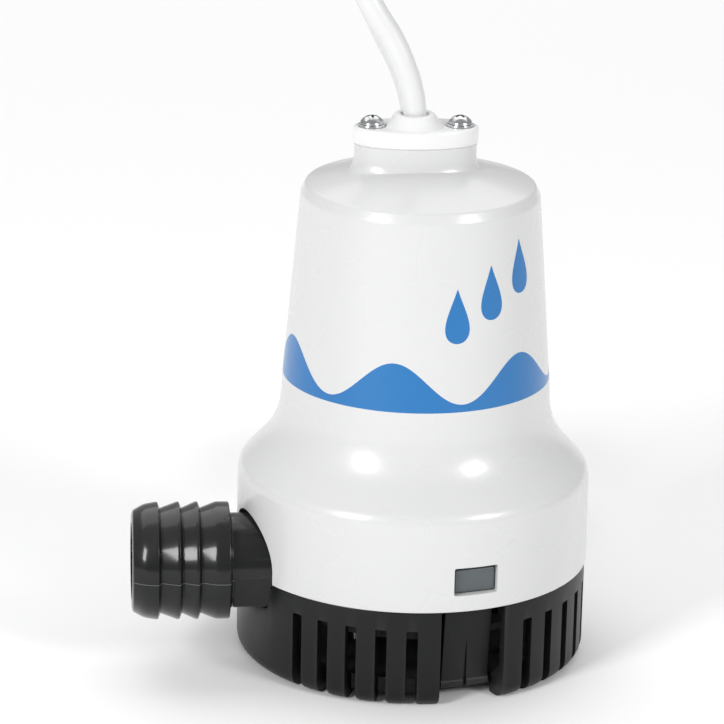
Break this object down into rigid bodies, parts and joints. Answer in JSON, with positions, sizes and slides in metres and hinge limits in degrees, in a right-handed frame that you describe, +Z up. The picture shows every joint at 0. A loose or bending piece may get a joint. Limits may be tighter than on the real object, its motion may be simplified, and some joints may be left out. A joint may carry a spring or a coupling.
{
  "type": "submersible bilge pump",
  "caption": "Submersible bilge pump: white bell-shaped motor housing on a black slotted strainer with release tabs, side hose barb and a round supply cable.",
  "frame": {"origin": "on the pump's axis at the plane of the feet, the centre of the four mounting screws", "axes": "+Z up along the motor shaft, -X along the hose barb, the visible release tab towards -Y"},
  "size_m": [0.1207, 0.1779, 0.1949],
  "materials": {
    "white_plastic": "satin white moulding",
    "black_plastic": "satin black moulding",
    "grey_latch": "black moulding with a grey latch face",
    "cable_jacket": "satin white cable jacket",
    "stainless": "bright stainless steel",
    "steel": "ground steel",
    "can_steel": "zinc plated steel",
    "rubber_black": "matt black rubber",
    "seal_rubber": "dark brown rubber",
    "bronze": "sintered bronze",
    "brass": "brass",
    "copper": "copper",
    "winding_enamel": "enamelled copper wire",
    "laminations": "stacked electrical steel",
    "ferrite": "grey ferrite",
    "carbon": "pressed carbon",
    "phenolic": "brown phenolic board",
    "capacitor": "dipped ceramic",
    "wire_brown": "brown wire insulation",
    "wire_black": "black wire insulation",
    "tie_nylon": "black nylon"
  },
  "bodies": {
    "pump": {"motor_housing": "white_plastic", "cable_cap": "white_plastic", "cap_screws": "stainless", "cap_washers": "stainless", "cable_grommet": "rubber_black", "volute_casing": "black_plastic", "volute_cover": "black_plastic", "volute_screws": "stainless", "motor_base_plate": "black_plastic", "bulkhead_oring": "rubber_black", "shaft_seal": "seal_rubber", "lower_bearing": "bronze", "upper_bearing": "bronze", "motor_can": "can_steel", "field_magnets": "ferrite", "motor_end_bell": "black_plastic", "motor_screws": "stainless", "brush_card": "phenolic", "brush_holders": "brass", "carbon_brushes": "carbon", "brush_springs": "steel", "motor_terminals": "brass", "noise_capacitor": "capacitor", "lead_positive": "wire_brown", "lead_negative": "wire_black", "strainer_base": "black_plastic", "supply_cable": "cable_jacket", "cable_coil": "cable_jacket", "cable_tail": "cable_jacket", "cable_tie": "tie_nylon", "lead_end_positive": "wire_brown", "lead_end_negative": "wire_black"},
    "rotor": {"impeller": "black_plastic", "impeller_nut": "brass", "motor_shaft": "steel", "armature_core": "laminations", "armature_windings": "winding_enamel", "commutator": "copper"},
    "front_tab": {"release_tab_front": "grey_latch"},
    "rear_tab": {"release_tab_rear": "grey_latch"}
  },
  "joints": [
    {"name": "rotor_spin", "type": "hinge", "parent": "pump", "child": "rotor", "pos_m": [0, 0, 0.08], "axis": [0, 0, 1], "continuous": true},
    {"name": "front_tab_press", "type": "hinge", "parent": "pump", "child": "front_tab", "pos_m": [0.00997, -0.03646, 0.004], "axis": [-0.9646, -0.2639, 0], "range_deg": [0, 5], "stiffness_Nm_per_rad": 0.05},
    {"name": "rear_tab_press", "type": "hinge", "parent": "pump", "child": "rear_tab", "pos_m": [-0.00997, 0.03646, 0.004], "axis": [0.9646, 0.2639, 0], "range_deg": [0, 5], "stiffness_Nm_per_rad": 0.05}
  ]
}
